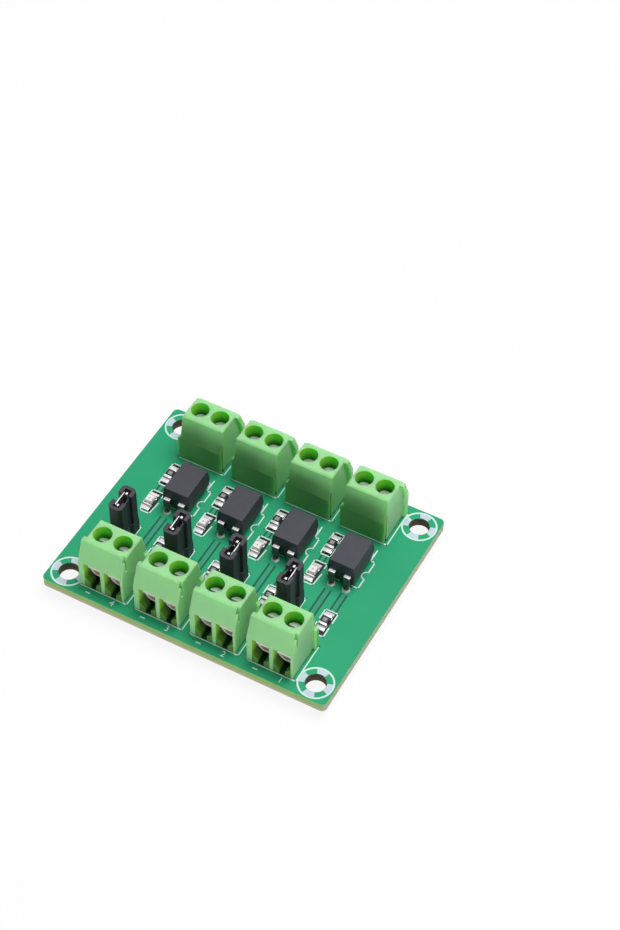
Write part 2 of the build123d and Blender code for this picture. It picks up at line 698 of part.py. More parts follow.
def terminal_nodes():
    """The nodes of the eight terminal blocks, with their frames as one group."""
    housing = terminal_housing()
    frame = clamp_frame()
    screw = clamp_screw()
    guard = wire_guard()
    nodes = {}
    frames = []
    for block, place in terminal_places().items():
        nodes[f"{block}_housing"] = place * housing
        for side, x in pole_offsets().items():
            at_pole = place * Pos(x, 0, 0)
            nodes[f"{block}_{side}_screw"] = at_pole * screw
            nodes[f"{block}_{side}_wire_guard"] = at_pole * guard
            frames.append(at_pole * frame)
    nodes["clamp_frames"] = group(frames)
    return nodes


def coupler_nodes():
    """The optocoupler bodies, and their leads as one group."""
    body = coupler_body()
    lead = coupler_lead()
    nodes = {}
    leads = []
    for channel in range(1, CHANNELS + 1):
        place = on_board(channel_x(channel) + COUPLER_OFFSET_X, COUPLER_Y)
        nodes[f"optocoupler_{channel}"] = place * body
        leads += [place * lead_place * lead for lead_place in coupler_lead_places()]
    nodes["optocoupler_leads"] = group(leads)
    return nodes


def header_nodes():
    """The header bases and pins as groups, and each jumper's cap and clip."""
    base = header_base()
    cap = jumper_cap()
    clip = jumper_clip()
    pin = header_pin()
    nodes = {}
    bases = []
    for channel in range(1, CHANNELS + 1):
        place = on_board(channel_x(channel) + HEADER_OFFSET_X, HEADER_Y)
        bases.append(place * base)
        nodes[f"jumper_{channel}_cap"] = place * cap
        turn = 180 if channel in TURNED_JUMPERS else 0
        nodes[f"jumper_{channel}_clip"] = place * Rot(0, 0, turn) * clip
    nodes["header_bases"] = group(bases)
    nodes["header_pins"] = group([place * pin for place in header_pins_on_board()])
    return nodes


def chip_nodes():
    """The resistors and the lights, each kind as one group."""
    resistor = chip_resistor()
    led = chip_led()
    resistors = []
    for offset_x, y in resistor_rows():
        resistors += [place * resistor for place in chips_on_board(offset_x, y)]
    lights = [place * led for place in chips_on_board(LED_OFFSET_X, LED_Y)]
    return {"resistors": group(resistors), "status_leds": group(lights)}


def main():
    nodes = {"circuit_board": circuit_board()}
    nodes.update(terminal_nodes())
    nodes.update(coupler_nodes())
    nodes.update(header_nodes())
    nodes.update(chip_nodes())
    nodes["solder_joints"] = group(solder())
    os.makedirs("parts", exist_ok=True)
    for name, shape in nodes.items():
        export_step(shape, f"parts/{name}.step")


main()
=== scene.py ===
import json
import math

import bpy
from mathutils import Matrix, Vector

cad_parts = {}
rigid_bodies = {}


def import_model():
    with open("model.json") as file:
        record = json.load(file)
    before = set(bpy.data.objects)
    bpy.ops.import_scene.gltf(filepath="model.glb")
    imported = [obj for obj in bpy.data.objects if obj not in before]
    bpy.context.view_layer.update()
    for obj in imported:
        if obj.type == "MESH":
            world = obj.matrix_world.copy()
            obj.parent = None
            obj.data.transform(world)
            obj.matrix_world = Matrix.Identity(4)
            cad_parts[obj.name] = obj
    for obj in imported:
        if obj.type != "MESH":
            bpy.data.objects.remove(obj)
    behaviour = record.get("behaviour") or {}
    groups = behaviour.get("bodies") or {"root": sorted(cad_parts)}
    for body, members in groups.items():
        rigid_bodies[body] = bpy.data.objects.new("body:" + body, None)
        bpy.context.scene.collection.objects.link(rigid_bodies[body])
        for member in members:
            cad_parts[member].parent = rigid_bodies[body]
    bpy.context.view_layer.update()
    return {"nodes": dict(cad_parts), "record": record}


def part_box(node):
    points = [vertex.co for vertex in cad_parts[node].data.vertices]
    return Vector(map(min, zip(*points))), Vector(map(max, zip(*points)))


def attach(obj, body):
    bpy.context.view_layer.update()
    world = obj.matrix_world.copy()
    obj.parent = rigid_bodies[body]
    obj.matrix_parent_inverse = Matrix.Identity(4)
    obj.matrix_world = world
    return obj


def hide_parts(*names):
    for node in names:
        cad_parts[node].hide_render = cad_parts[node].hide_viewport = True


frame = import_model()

# Places and sizes are in metres; MM turns the board's millimetres into them
MM = 0.001
BOARD_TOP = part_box("circuit_board")[1][2]
FLOOR_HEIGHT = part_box("header_pins")[0][2]

CHANNELS = (1, 2, 3, 4)
CHANNEL_PITCH = 9.5 * MM
SIDES = ("left", "right")
BLOCKS = [f"{row}_{channel}" for row in ("output", "input") for channel in CHANNELS]
BOARD_BODY = "board_assembly"
SLOTS = {entry["node"]: entry["material_slot"] for entry in frame["record"]["subparts"]}

# The terminals' poles, beside their channel's middle and across the board
POLE_X = 1.75 * MM
OUTPUT_Y = -14.1 * MM
INPUT_Y = 14.4 * MM

# Inside a terminal, inward from its pole and up from the board
WELL_INWARD = 0.2 * MM
WELL_RADIUS = 1.45 * MM
WELL_FLOOR = 5.25 * MM
ENTRY_HALF_WIDTH = 1.45 * MM
ENTRY_TOP = 5.15 * MM
ENTRY_END = 2.7 * MM
INNER_WALL = 3.0 * MM
KNEE_HEIGHTS = (4.5 * MM, 5.2 * MM)
KNEE_TOLERANCE = 0.02 * MM

# The wire guards' lip, outward from its pole and up from the board
LIP_OUTWARD = 2.66 * MM
LIP_HEIGHT = 4.31 * MM
LIP_LEAN = math.radians(9.46)
LIP_SIZE = (2.2 * MM, 0.34 * MM, 1.1 * MM)

# The chip parts, beside their channel's middle and across the board
OUTPUT_RESISTOR_X = 2.7 * MM
OUTPUT_RESISTOR_Y = -6.2 * MM
INPUT_RESISTOR_X = -3.25 * MM
INPUT_RESISTOR_Y = 7.05 * MM
RESISTOR_CAP_START = 0.6 * MM
RESISTOR_MARK_REACH = 0.34 * MM
LED_X = -3.25 * MM
LED_Y = 0.95 * MM
LED_DIE_RADIUS = 0.13 * MM
LED_CROSS_REACH = 0.05 * MM
LED_END_DARK = (0.64 * MM, 0.76 * MM)
LED_END_GAP = 0.2 * MM

# Painted shade: the dark patch of board under each terminal, and where both rows of patches stop
SHADE_UNDER_HALF_WIDTH = 3.6 * MM
SHADE_UNDER_Y = 14.25 * MM
SHADE_UNDER_HALF_DEPTH = 3.3 * MM
SHADE_UNDER_END_X = 18.1 * MM

# Slow changes of colour, each the middle of a ramp and its width: painted shade down a well and
# down a wire entry towards the board, painted shade inward along an entry, the layers up the
# board's cut edge, and painted shade up the solder at a lead
WELL_SHADE_RAMP = (7.4 * MM, 2.6 * MM)
ENTRY_FOOT_SHADE_RAMP = (2.2 * MM, 2.4 * MM)
ENTRY_DEPTH_SHADE_RAMP = (-2.2 * MM, 1.9 * MM)
CUT_EDGE_RAMP = (0.65 * MM, 0.7 * MM)
SOLDER_SHADE_RAMP = (0.3 * MM, 0.16 * MM)

# How wide the rounding of each piece's edges is
HOUSING_EDGE = 0.09 * MM
SCREW_EDGE = 0.06 * MM
GUARD_EDGE = 0.04 * MM
COUPLER_EDGE = 0.1 * MM
CAP_EDGE = 0.05 * MM
LEAD_EDGE = 0.12 * MM
SMALL_EDGE = 0.03 * MM
SOLDER_EDGE = 0.02 * MM

# Corners sharper than these, in degrees, are rounded or kept out of smooth shading
ROUNDED_CORNER = 32
SMOOTH_CORNER = 40
SOLDER_SMOOTH_CORNER = 70

# Points and faces of a solid that are closer than these count as one
SAME_POINT = 0.002 * MM
SAME_PLANE = math.radians(1.0)

# A printed arc's step in degrees, and how close its points are when they count as one
ARC_STEP = 6
SAME_ARC_POINT = 0.0001 * MM

# Printed marks and the copper's outlines, seen from above
INK_WIDTH = 0.2 * MM
INK_THICKNESS = 0.03 * MM
GAP_WIDTH = 0.3 * MM
GAP_THICKNESS = 0.012 * MM
STRIP_WIDTH = 0.7 * MM
STRIP_THICKNESS = 0.8 * GAP_THICKNESS
# Dark bars of painted shade beside each chip
CHIP_SHADE_WIDTH = 0.9 * MM
CHIP_SHADE_THICKNESS = 1.2 * GAP_THICKNESS

# The mounting holes, each with a printed ring and four tinned arcs inside it
MOUNT_X = 21.0 * MM
MOUNT_Y = 16.5 * MM
HOLE_RADIUS = 1.6 * MM
RING_RADIUS = 2.65 * MM
RING_WIDTH = 0.28 * MM
LAND_COUNT = 4
LAND_TURN = math.radians(45)
LAND_RADII = (HOLE_RADIUS + 0.05 * MM, RING_RADIUS - 0.1 * MM)

# The camera that took the picture
CAMERA_PLACE = (0.10350, -0.17288, 0.25460)
CAMERA_AIM = (-0.00016, 0.02055, 0.0)
CAMERA_ROLL = math.radians(0.57)
CAMERA_LENS = 82.86
CAMERA_SENSOR = 36
CAMERA_NEAR = 0.001

# The studio: a lamp is a place, a size and a power
MAIN_LAMP = ((0.10, 0.14, 0.58), 0.38, 3.4)
FILL_LAMP = ((0.05, -0.55, 0.035), 0.06, 0.6)
WORLD_STRENGTH = 0.14
FLOOR_SIZE = 3
FLOOR_WHITE = 0.9


def channel_x(channel):
    """The X of a channel's terminals, in metres."""
    return (2.5 - channel) * CHANNEL_PITCH


def srgb(red, green, blue):
    """A colour as a screen shows it, 0 to 255, as the shader's own values."""
    shares = [value / 255 for value in (red, green, blue)]
    linear = [s / 12.92 if s <= 0.04045 else ((s + 0.055) / 1.055) ** 2.4 for s in shares]
    return (*linear, 1.0)


class Field:
    """A value that varies over a surface, with the sums that a shader can work out."""

    def __init__(self, finish, socket):
        self.finish = finish
        self.socket = socket

    def worked(self, operation, *terms):
        """The result of one sum on its terms, which are fields or plain numbers."""
        return self.finish.node("ShaderNodeMath", {"operation": operation}, dict(enumerate(terms)))

    def __add__(self, other):
        return self.worked("ADD", self, other)

    def __radd__(self, other):
        return self.worked("ADD", other, self)

    def __sub__(self, other):
        return self.worked("SUBTRACT", self, other)

    def __rsub__(self, other):
        return self.worked("SUBTRACT", other, self)

    def __mul__(self, other):
        return self.worked("MULTIPLY", self, other)

    def __rmul__(self, other):
        return self.worked("MULTIPLY", other, self)

    def __truediv__(self, other):
        return self.worked("DIVIDE", self, other)

    def __abs__(self):
        return self.worked("ABSOLUTE", self)

    def larger(self, other):
        return self.worked("MAXIMUM", self, other)

    def root(self):
        return self.worked("SQRT", self)

    def part_of_one(self):
        """What is left of a number after its whole part."""
        return self.worked("FRACT", self)

    def above(self, edge, blur):
        """0 below the edge and 1 above it, with a ramp that is as wide as the blur."""
        settings = {"interpolation_type": "SMOOTHSTEP"}
        ends = {"From Min": edge - blur / 2, "From Max": edge + blur / 2}
        return self.finish.node("ShaderNodeMapRange", settings, {"Value": self, **ends})

    def below(self, edge, blur):
        """1 below the edge and 0 above it, with a ramp that is as wide as the blur."""
        return 1 - self.above(edge, blur)


class Finish:
    """One material: a surface shader and the nodes that feed it."""

    def __init__(self, name, **sockets):
        self.material = bpy.data.materials.new(name)
        self.material.use_nodes = True
        self.tree = self.material.node_tree
        self.surface = self.tree.nodes["Principled BSDF"]
        for socket, value in sockets.items():
            self.feed(socket.replace("_", " ").title().replace("Ior", "IOR"), value)

    def feed(self, socket, value):
        """Gives one of the surface's sockets a field or a plain value."""
        self.join(self.surface.inputs[socket], value)

    def join(self, socket, value):
        """Gives a node's socket a field or a plain value."""
        if isinstance(value, Field):
            self.tree.links.new(value.socket, socket)
        else:
            socket.default_value = value

    def node(self, kind, settings=None, values=None, output=0):
        """Adds a node, sets it and its sockets, and returns one of its outputs."""
        made = self.tree.nodes.new(kind)
        for name, value in (settings or {}).items():
            setattr(made, name, value)
        for socket, value in (values or {}).items():
            self.join(made.inputs[socket], value)
        return Field(self, made.outputs[output])

    def place(self):
        """Where a point of the object lies, in the object's own coordinates."""
        return self.node("ShaderNodeTexCoord", output="Object")

    def parts(self, vector):
        """The X, Y and Z of a vector."""
        split = self.node("ShaderNodeSeparateXYZ", values={0: vector})
        sockets = split.socket.node.outputs
        return [Field(self, sockets[axis]) for axis in "XYZ"]

    def facing(self):
        """The X, Y and Z of the surface's normal."""
        return self.parts(self.node("ShaderNodeNewGeometry", output="Normal"))

    def noise(self, scale, detail=2.0):
        """Soft random patches; the scale is in patches a metre."""
        values = {"Vector": self.place(), "Scale": scale, "Detail": detail}
        return self.node("ShaderNodeTexNoise", values=values)

    def mixed(self, share, first, second):
        """From one colour to another as the share goes from 0 to 1."""
        made = self.node("ShaderNodeMix", {"data_type": "RGBA"}, output=2)
        for index, value in ((0, share), (6, first), (7, second)):
            self.join(made.socket.node.inputs[index], value)
        return made

    def bumped(self, height, distance):
        """Relief from a height field."""
        values = {"Height": height, "Distance": distance, "Strength": 1.0}
        self.feed("Normal", self.node("ShaderNodeBump", values=values))


def distance_to(across, along):
    """How far a point is from a line that stands up through the origin of two offsets."""
    return (across * across + along * along).root()


def beside_channel(x):
    """How far to the side of its channel's middle a point lies."""
    return ((x / CHANNEL_PITCH).part_of_one() - 0.5) * CHANNEL_PITCH


def by_row(y, at_outputs, at_inputs):
    """One value on the output terminals' half of the board and another on the inputs' half."""
    row = y.above(0, MM)
    return (1 - row) * at_outputs + row * at_inputs


def mask_finish():
    """Green solder mask with painted shade under the terminals, and the laminate's cut edge and
    hole walls.
    """
    finish = Finish("solder_mask", specular_ior_level=0.25)
    x, y, z = finish.parts(finish.place())
    facing_x, _, facing_z = finish.facing()
    mask = finish.mixed(finish.noise(90.0), srgb(28, 156, 110), srgb(40, 170, 122))
    # Painted shade: the board is darker under each terminal
    under = abs(beside_channel(x)).below(SHADE_UNDER_HALF_WIDTH, 0.1 * MM)
    under = under * abs(abs(y) - SHADE_UNDER_Y).below(SHADE_UNDER_HALF_DEPTH, 0.1 * MM)
    under = under * abs(x).below(SHADE_UNDER_END_X, 0.1 * MM)
    mask = finish.mixed(under, mask, srgb(18, 66, 48))
    weave = 0.3 * MM * finish.noise(2600.0, 1.0)
    # Painted light: the cut edge's core is paler where the edge faces sideways than where it faces
    # front or back
    endways = abs(facing_x).above(0.5, 0.6)
    core = finish.mixed(endways, srgb(156, 194, 118), srgb(178, 204, 166))
    edge = finish.mixed((z + weave).above(*CUT_EDGE_RAMP), srgb(204, 192, 168), core)
    from_hole = distance_to(abs(x) - MOUNT_X, abs(y) - MOUNT_Y)
    wall = from_hole.below(HOLE_RADIUS + 0.1 * MM, 0.05 * MM)
    edge = finish.mixed(wall, edge, srgb(112, 102, 88))
    cut = abs(facing_z).below(0.5, 0.2)
    finish.feed("Base Color", finish.mixed(cut, mask, edge))
    finish.feed("Roughness", 0.5 + 0.3 * cut)
    finish.bumped(finish.noise(1500.0), 0.01 * MM)
    return finish.material


def flat_finish(name, dark, light, roughness, scale=400.0):
    """Mask, ink or a tinned land, matt and with small changes of tone."""
    finish = Finish(name, specular_ior_level=0.25)
    finish.feed("Base Color", finish.mixed(finish.noise(scale), srgb(*dark), srgb(*light)))
    finish.feed("Roughness", roughness + 0.1 * finish.noise(3 * scale))
    return finish.material


def terminal_finish():
    """Light green plastic, yellower in its wells; painted shade on its inner walls and deep in its
    wells and wire entries; painted light on walls facing +X.
    """
    finish = Finish(
        "terminal_plastic",
        specular_ior_level=0.35,
        subsurface_weight=0.8,
        subsurface_radius=(0.6, 1.0, 0.3),
        subsurface_scale=1.8 * MM,
    )
    x, y, z = finish.parts(finish.place())
    facing_x, _, facing_z = finish.facing()
    upright = abs(facing_z).below(0.6, 0.2)
    aside = abs(beside_channel(x)) - POLE_X
    inward = by_row(y, y - OUTPUT_Y, INPUT_Y - y)
    lifted = z - BOARD_TOP

    skin = finish.mixed(finish.noise(160.0), srgb(158, 226, 154), srgb(166, 234, 164))
    # Painted shade on the upright walls that lie more than INNER_WALL inward from the pole
    rear_wall_shade = inward.above(INNER_WALL, 0.8 * MM) * upright
    skin = finish.mixed(rear_wall_shade, skin, srgb(112, 184, 106))

    from_axis = distance_to(aside, inward - WELL_INWARD)
    in_well = from_axis.below(WELL_RADIUS + 0.06 * MM, 0.04 * MM)
    in_well = in_well * lifted.above(WELL_FLOOR, 0.05 * MM)
    # Painted light and shade in a well: walls facing +X are lighter, and the well darkens deeper
    # down
    shallow = finish.mixed(facing_x.above(0.2, 1.6), srgb(110, 236, 58), srgb(184, 255, 92))
    well = finish.mixed(lifted.below(*WELL_SHADE_RAMP), shallow, srgb(82, 178, 58))

    in_entry = abs(aside).below(ENTRY_HALF_WIDTH, 0.04 * MM)
    in_entry = in_entry * lifted.below(ENTRY_TOP, 0.04 * MM)
    in_entry = in_entry * inward.below(ENTRY_END, 0.1 * MM)
    # Painted light and shade in a wire entry: walls facing +X are lighter, and it darkens further
    # in and low near the board
    mouth = finish.mixed(facing_x.above(0.2, 1.0), srgb(132, 192, 104), srgb(176, 242, 92))
    entry = finish.mixed(inward.above(*ENTRY_DEPTH_SHADE_RAMP), mouth, srgb(22, 50, 22))
    entry = finish.mixed(0.65 * lifted.below(*ENTRY_FOOT_SHADE_RAMP), entry, srgb(40, 84, 40))

    colour = finish.mixed(in_well * upright, skin, well)
    finish.feed("Base Color", finish.mixed(in_entry, colour, entry))
    finish.feed("Roughness", 0.38 + 0.14 * finish.noise(700.0))
    finish.bumped(finish.noise(2400.0), 0.015 * MM)
    return finish.material


def solder_finish():
    """Bright solder, with painted shade on its flanks where it climbs the leads."""
    finish = Finish("solder", metallic=0.2)
    lifted = finish.parts(finish.place())[2] - BOARD_TOP
    grain = finish.mixed(finish.noise(900.0, 3.0), srgb(228, 226, 230), srgb(252, 250, 253))
    # Painted shade: the solder is dark higher up, where it climbs a lead
    climb = lifted.above(*SOLDER_SHADE_RAMP)
    finish.feed("Base Color", finish.mixed(climb, grain, srgb(92, 94, 96)))
    finish.feed("Roughness", 0.2 + 0.12 * finish.noise(1800.0))
    return finish.material


def metal_finish(name, dark, light, roughness, metallic=1.0, steep_shade=None):
    """Plated metal with small changes of tone and shine, and painted shade on faces that are not
    level when a shade tone is given.
    """
    finish = Finish(name, metallic=metallic)
    grain = finish.noise(900.0, 3.0)
    colour = finish.mixed(grain, srgb(*dark), srgb(*light))
    if steep_shade:
        # Painted shade: faces that are not level take the darker tone
        level = finish.facing()[2].above(0.9, 0.12)
        colour = finish.mixed(level, srgb(*steep_shade), colour)
    finish.feed("Base Color", colour)
    finish.feed("Roughness", roughness + 0.08 * finish.noise(1800.0))
    finish.bumped(grain, 0.001 * MM)
    return finish.material


def moulding_finish(name, dark, light, roughness):
    """Filled dark plastic with a fine matt skin."""
    finish = Finish(name)
    finish.feed("Base Color", finish.mixed(finish.noise(500.0), srgb(*dark), srgb(*light)))
    finish.feed("Roughness", roughness + 0.1 * finish.noise(1200.0))
    finish.bumped(finish.noise(6000.0), 0.02 * MM)
    return finish.material


def resistor_finish():
    """Black glaze on the middle of the chip, with a pale mark, and tinned caps at its ends."""
    finish = Finish("resistor_glaze", specular_ior_level=0.3)
    x, y, _ = finish.parts(finish.place())
    aside = beside_channel(x)
    along = abs(by_row(y, y - OUTPUT_RESISTOR_Y, y - INPUT_RESISTOR_Y))
    across = abs(by_row(y, aside - OUTPUT_RESISTOR_X, aside - INPUT_RESISTOR_X))
    cap = along.above(RESISTOR_CAP_START, 0.02 * MM)
    mark = across.larger(along).below(RESISTOR_MARK_REACH, 0.08 * MM)
    mark = mark * finish.facing()[2].above(0.5, 0.1)
    glaze = finish.mixed(finish.noise(900.0), srgb(26, 24, 28), srgb(40, 38, 44))
    glaze = finish.mixed(0.75 * mark, glaze, srgb(176, 172, 180))
    tin = finish.mixed(finish.noise(1500.0), srgb(226, 218, 222), srgb(250, 244, 247))
    finish.feed("Base Color", finish.mixed(cap, glaze, tin))
    finish.feed("Metallic", 0.4 * cap)
    finish.feed("Roughness", 0.4 - 0.1 * cap)
    return finish.material


def led_finish():
    """Clear resin over a white base, with a small dark die in the middle and dark patches at the
    corners of its ends.
    """
    finish = Finish("led_resin", roughness=0.3)
    x, y, _ = finish.parts(finish.place())
    across = beside_channel(x) - LED_X
    along = y - LED_Y
    aside, endways = abs(across), abs(along)
    die = distance_to(across, along).below(LED_DIE_RADIUS, 0.08 * MM)
    cross = aside.below(LED_CROSS_REACH, 0.04 * MM)
    cross = cross.larger(endways.below(LED_CROSS_REACH, 0.04 * MM))
    # Darker patches near the corners of its ends
    start, end = LED_END_DARK
    corner = endways.above(start, 0.03 * MM) * endways.below(end, 0.03 * MM)
    corner = corner * aside.above(LED_END_GAP, 0.1 * MM)
    resin = finish.mixed(finish.noise(1500.0), srgb(246, 236, 235), srgb(255, 251, 250))
    resin = finish.mixed(0.18 * cross, resin, srgb(120, 120, 120))
    resin = finish.mixed(0.55 * die, resin, srgb(80, 84, 84))
    finish.feed("Base Color", finish.mixed(0.85 * corner, resin, srgb(46, 44, 44)))
    return finish.material


FINISHES = {
    "board_laminate": mask_finish(),
    "copper_gap": flat_finish("mask_over_bare_laminate", (14, 84, 64), (22, 98, 74), 0.5),
    "copper_strip": flat_finish("mask_over_copper_strip", (46, 150, 116), (56, 160, 124), 0.5),
    # Dark bars of painted shade beside the chips
    "painted_chip_shade": flat_finish("painted_chip_shade", (24, 38, 36), (36, 50, 46), 0.6),
    "ink": flat_finish("legend_ink", (206, 240, 230), (232, 250, 246), 0.6, 1800.0),
    "mounting_land": flat_finish("mounting_land", (190, 208, 222), (214, 228, 238), 0.5, 1800.0),
    "terminal_plastic": terminal_finish(),
    "screw_steel": metal_finish("screw_plating", (158, 164, 164), (210, 216, 212), 0.3, 0.7),
    "clamp_steel": metal_finish("clamp_tin", (250, 240, 230), (255, 250, 245), 0.3, 0.1),
    "coupler_plastic": moulding_finish("coupler_moulding", (44, 46, 54), (54, 54, 63), 0.55),
    # Tinned leads and jumper clips, with painted shade on their faces that are not level
    "tinned_lead": metal_finish(
        "tinned_lead", (244, 244, 247), (255, 255, 255), 0.25, 0.12, steep_shade=(84, 88, 88)
    ),
    "header_plastic": moulding_finish("header_moulding", (36, 36, 44), (47, 46, 55), 0.5),
    "pin_plating": metal_finish("pin_plating", (220, 216, 206), (248, 244, 236), 0.2),
    "resistor_glaze": resistor_finish(),
    "led_resin": led_finish(),
    "solder": solder_finish(),
}


def active():
    """The object that the last step made or chose."""
    return bpy.context.view_layer.objects.active


def choose(pieces):
    """Selects some pieces and nothing else, and makes the first one active."""
    bpy.ops.object.select_all(action="DESELECT")
    for piece in pieces:
        piece.select_set(True)
    bpy.context.view_layer.objects.active = pieces[0]


def applied(piece, modifier):
    """Makes a modifier of a piece part of its shape."""
    bpy.context.view_layer.objects.active = piece
    bpy.ops.object.modifier_apply(modifier=modifier.name)


def dressed(piece, finish):
    """Gives a piece one finish and nothing else."""
    piece.data.materials.clear()
    piece.data.materials.append(FINISHES[finish])


def dress_nodes():
    """Gives every solid the finish of its slot."""
    for node, slot in SLOTS.items():
        dressed(frame["nodes"][node], slot)


def body_of(node):
    """The body that a node belongs to."""
    bodies = frame["record"]["behaviour"]["bodies"]
    return next(name for name, nodes in bodies.items() if node in nodes)


def softened(node, width, smooth=SMOOTH_CORNER, reshape=None):
    """Shows a copy of a solid in its place, with rounded edges and any change of shape first."""
    choose([frame["nodes"][node]])
    bpy.ops.object.duplicate()
    piece = active()
    piece.name = f"{node}_rounded"
    bpy.ops.object.parent_clear(type="CLEAR_KEEP_TRANSFORM")
    bpy.ops.object.mode_set(mode="EDIT")
    bpy.ops.mesh.select_all(action="SELECT")
    bpy.ops.mesh.remove_doubles(threshold=SAME_POINT)
    bpy.ops.mesh.dissolve_limited(angle_limit=SAME_PLANE)
    bpy.ops.object.mode_set(mode="OBJECT")
    if reshape:
        reshape(piece)
    rounding = piece.modifiers.new("rounded edges", "BEVEL")
    rounding.width = width
    rounding.segments = 2
    rounding.limit_method = "ANGLE"
    rounding.angle_limit = math.radians(ROUNDED_CORNER)
    rounding.use_clamp_overlap = True
    applied(piece, rounding)
    crease_knees(piece)
    bpy.ops.object.shade_smooth_by_angle(angle=math.radians(smooth), keep_sharp_edges=True)
    flats = piece.modifiers.new("flat faces", "WEIGHTED_NORMAL")
    flats.keep_sharp = True
    applied(piece, flats)
    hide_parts(node)
    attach(piece, body_of(node))


def wide_lip(piece):
    """Welds a wide plate to the front of a wire guard, the lip that shows in the wire entry."""
    low, high = piece.bound_box[0], piece.bound_box[6]
    outward = -1 if low[1] < 0 else 1
    row = OUTPUT_Y if outward < 0 else INPUT_Y
    bpy.ops.mesh.primitive_cube_add(
        size=1,
        location=((low[0] + high[0]) / 2, row + outward * LIP_OUTWARD, BOARD_TOP + LIP_HEIGHT),
        rotation=(-outward * LIP_LEAN, 0, 0),
        scale=LIP_SIZE,
    )
    plate = active()
    weld = piece.modifiers.new("lip", "BOOLEAN")
    weld.operation = "UNION"
    weld.object = plate
    applied(piece, weld)
    choose([plate])
    bpy.ops.object.delete()
    choose([piece])


def crease_knees(piece):
    """Keeps the two knees of a terminal's walls crisp: the level edges at a knee's height."""
    bpy.ops.object.mode_set(mode="EDIT")
    bpy.context.tool_settings.mesh_select_mode = (False, True, False)
    bpy.ops.mesh.select_all(action="DESELECT")
    bpy.ops.object.mode_set(mode="OBJECT")
    points = piece.data.vertices
    for edge in piece.data.edges:
        heights = [points[index].co.z - BOARD_TOP for index in edge.vertices]
        edge.select = any(
            all(abs(height - knee) < KNEE_TOLERANCE for height in heights) for knee in KNEE_HEIGHTS
        )
    bpy.ops.object.mode_set(mode="EDIT")
    bpy.ops.mesh.mark_sharp()
    bpy.ops.object.mode_set(mode="OBJECT")


def soften_pieces():
    """Rounds the edges of the mouldings and of the small metal pieces that show."""
    for block in BLOCKS:
        softened(f"{block}_housing", HOUSING_EDGE)
        for side in SIDES:
            softened(f"{block}_{side}_screw", SCREW_EDGE)
            softened(f"{block}_{side}_wire_guard", GUARD_EDGE, reshape=wide_lip)
    for channel in CHANNELS:
        softened(f"optocoupler_{channel}", COUPLER_EDGE)
        softened(f"jumper_{channel}_cap", CAP_EDGE)
        softened(f"jumper_{channel}_clip", SMALL_EDGE)
    softened("header_bases", SMALL_EDGE)
    softened("header_pins", SMALL_EDGE)
    softened("optocoupler_leads", LEAD_EDGE)
    softened("resistors", SMALL_EDGE)
    softened("status_leds", SMALL_EDGE)
    softened("solder_joints", SOLDER_EDGE, SOLDER_SMOOTH_CORNER)


def bar(start, end, width, thickness):
    """A thin flat bar on the board's upper face, from one point to another."""
    run = Vector(end) - Vector(start)
    middle = (Vector(start) + Vector(end)) / 2
    bpy.ops.mesh.primitive_cube_add(
        size=1,
        location=(middle.x, middle.y, BOARD_TOP + thickness / 2),
        rotation=(0, 0, math.atan2(run.y, run.x)),
        scale=(run.length + width, width, thickness),
    )
    return active()


def ring(x, y, radius, width):
    """A thin flat ring of ink on the board's upper face."""
    bpy.ops.mesh.primitive_torus_add(
        location=(x, y, BOARD_TOP),
        major_radius=radius,
        minor_radius=width / 2,
        major_segments=64,
        minor_segments=8,
    )
    made = active()
    made.scale.z = 2 * INK_THICKNESS / width
    return made


def sector(x, y, radii, start, turn):
    """A thin flat arc on the board's upper face: a cut across it, spun round from its start."""
    inner, outer = radii
    bpy.ops.mesh.primitive_cube_add(
        size=1,
        location=((inner + outer) / 2, 0, INK_THICKNESS / 2),
        scale=(outer - inner, INK_THICKNESS / 10, INK_THICKNESS),
    )
    made = active()
    bpy.ops.object.transform_apply(location=True, rotation=True, scale=True)
    bpy.ops.object.mode_set(mode="EDIT")
    bpy.ops.mesh.select_all(action="DESELECT")
    bpy.ops.object.mode_set(mode="OBJECT")
    for face in made.data.polygons:
        face.select = face.normal.y > 0.9
    bpy.ops.object.mode_set(mode="EDIT")
    bpy.context.tool_settings.mesh_select_mode = (False, False, True)
    steps = round(math.degrees(turn) / ARC_STEP)
    bpy.ops.mesh.spin(steps=steps, angle=turn, center=(0, 0, 0), axis=(0, 0, 1))
    bpy.ops.mesh.select_all(action="SELECT")
    bpy.ops.mesh.remove_doubles(threshold=SAME_ARC_POINT)
    bpy.ops.mesh.normals_make_consistent(inside=False)
    bpy.ops.object.mode_set(mode="OBJECT")
    made.rotation_euler.z = start
    made.location = (x, y, BOARD_TOP)
    return made


def figure(text, x, y, height):
    """A plain printed figure, centred on a point of the board's upper face."""
    bpy.ops.object.text_add(location=(x, y, BOARD_TOP))
    made = active()
    made.data.body = text
    made.data.size = height / FIGURE_SHARE
    made.data.extrude = INK_THICKNESS
    made.data.align_x = "CENTER"
    made.data.align_y = "CENTER"
    bpy.ops.object.convert(target="MESH")
    return active()


def joined(name, pieces, finish):
    """Joins pieces into one that lies on the board and rides on its body."""
    choose(pieces)
    bpy.ops.object.join()
    made = active()
    bpy.ops.object.transform_apply(location=True, rotation=True, scale=True)
    made.name = name
    dressed(made, finish)
    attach(made, BOARD_BODY)


def outline(points, width=INK_WIDTH, thickness=INK_THICKNESS):
    """Bars along an open line of points, given in millimetres."""
    ends = [(x * MM, y * MM, 0) for x, y in points]
    return [bar(a, b, width, thickness) for a, b in zip(ends, ends[1:])]


def shifted(points, channel):
    """Points drawn for channel 1, moved to another channel."""
    shift = (channel - 1) * CHANNEL_PITCH / MM
    return [(x - shift, y) for x, y in points]


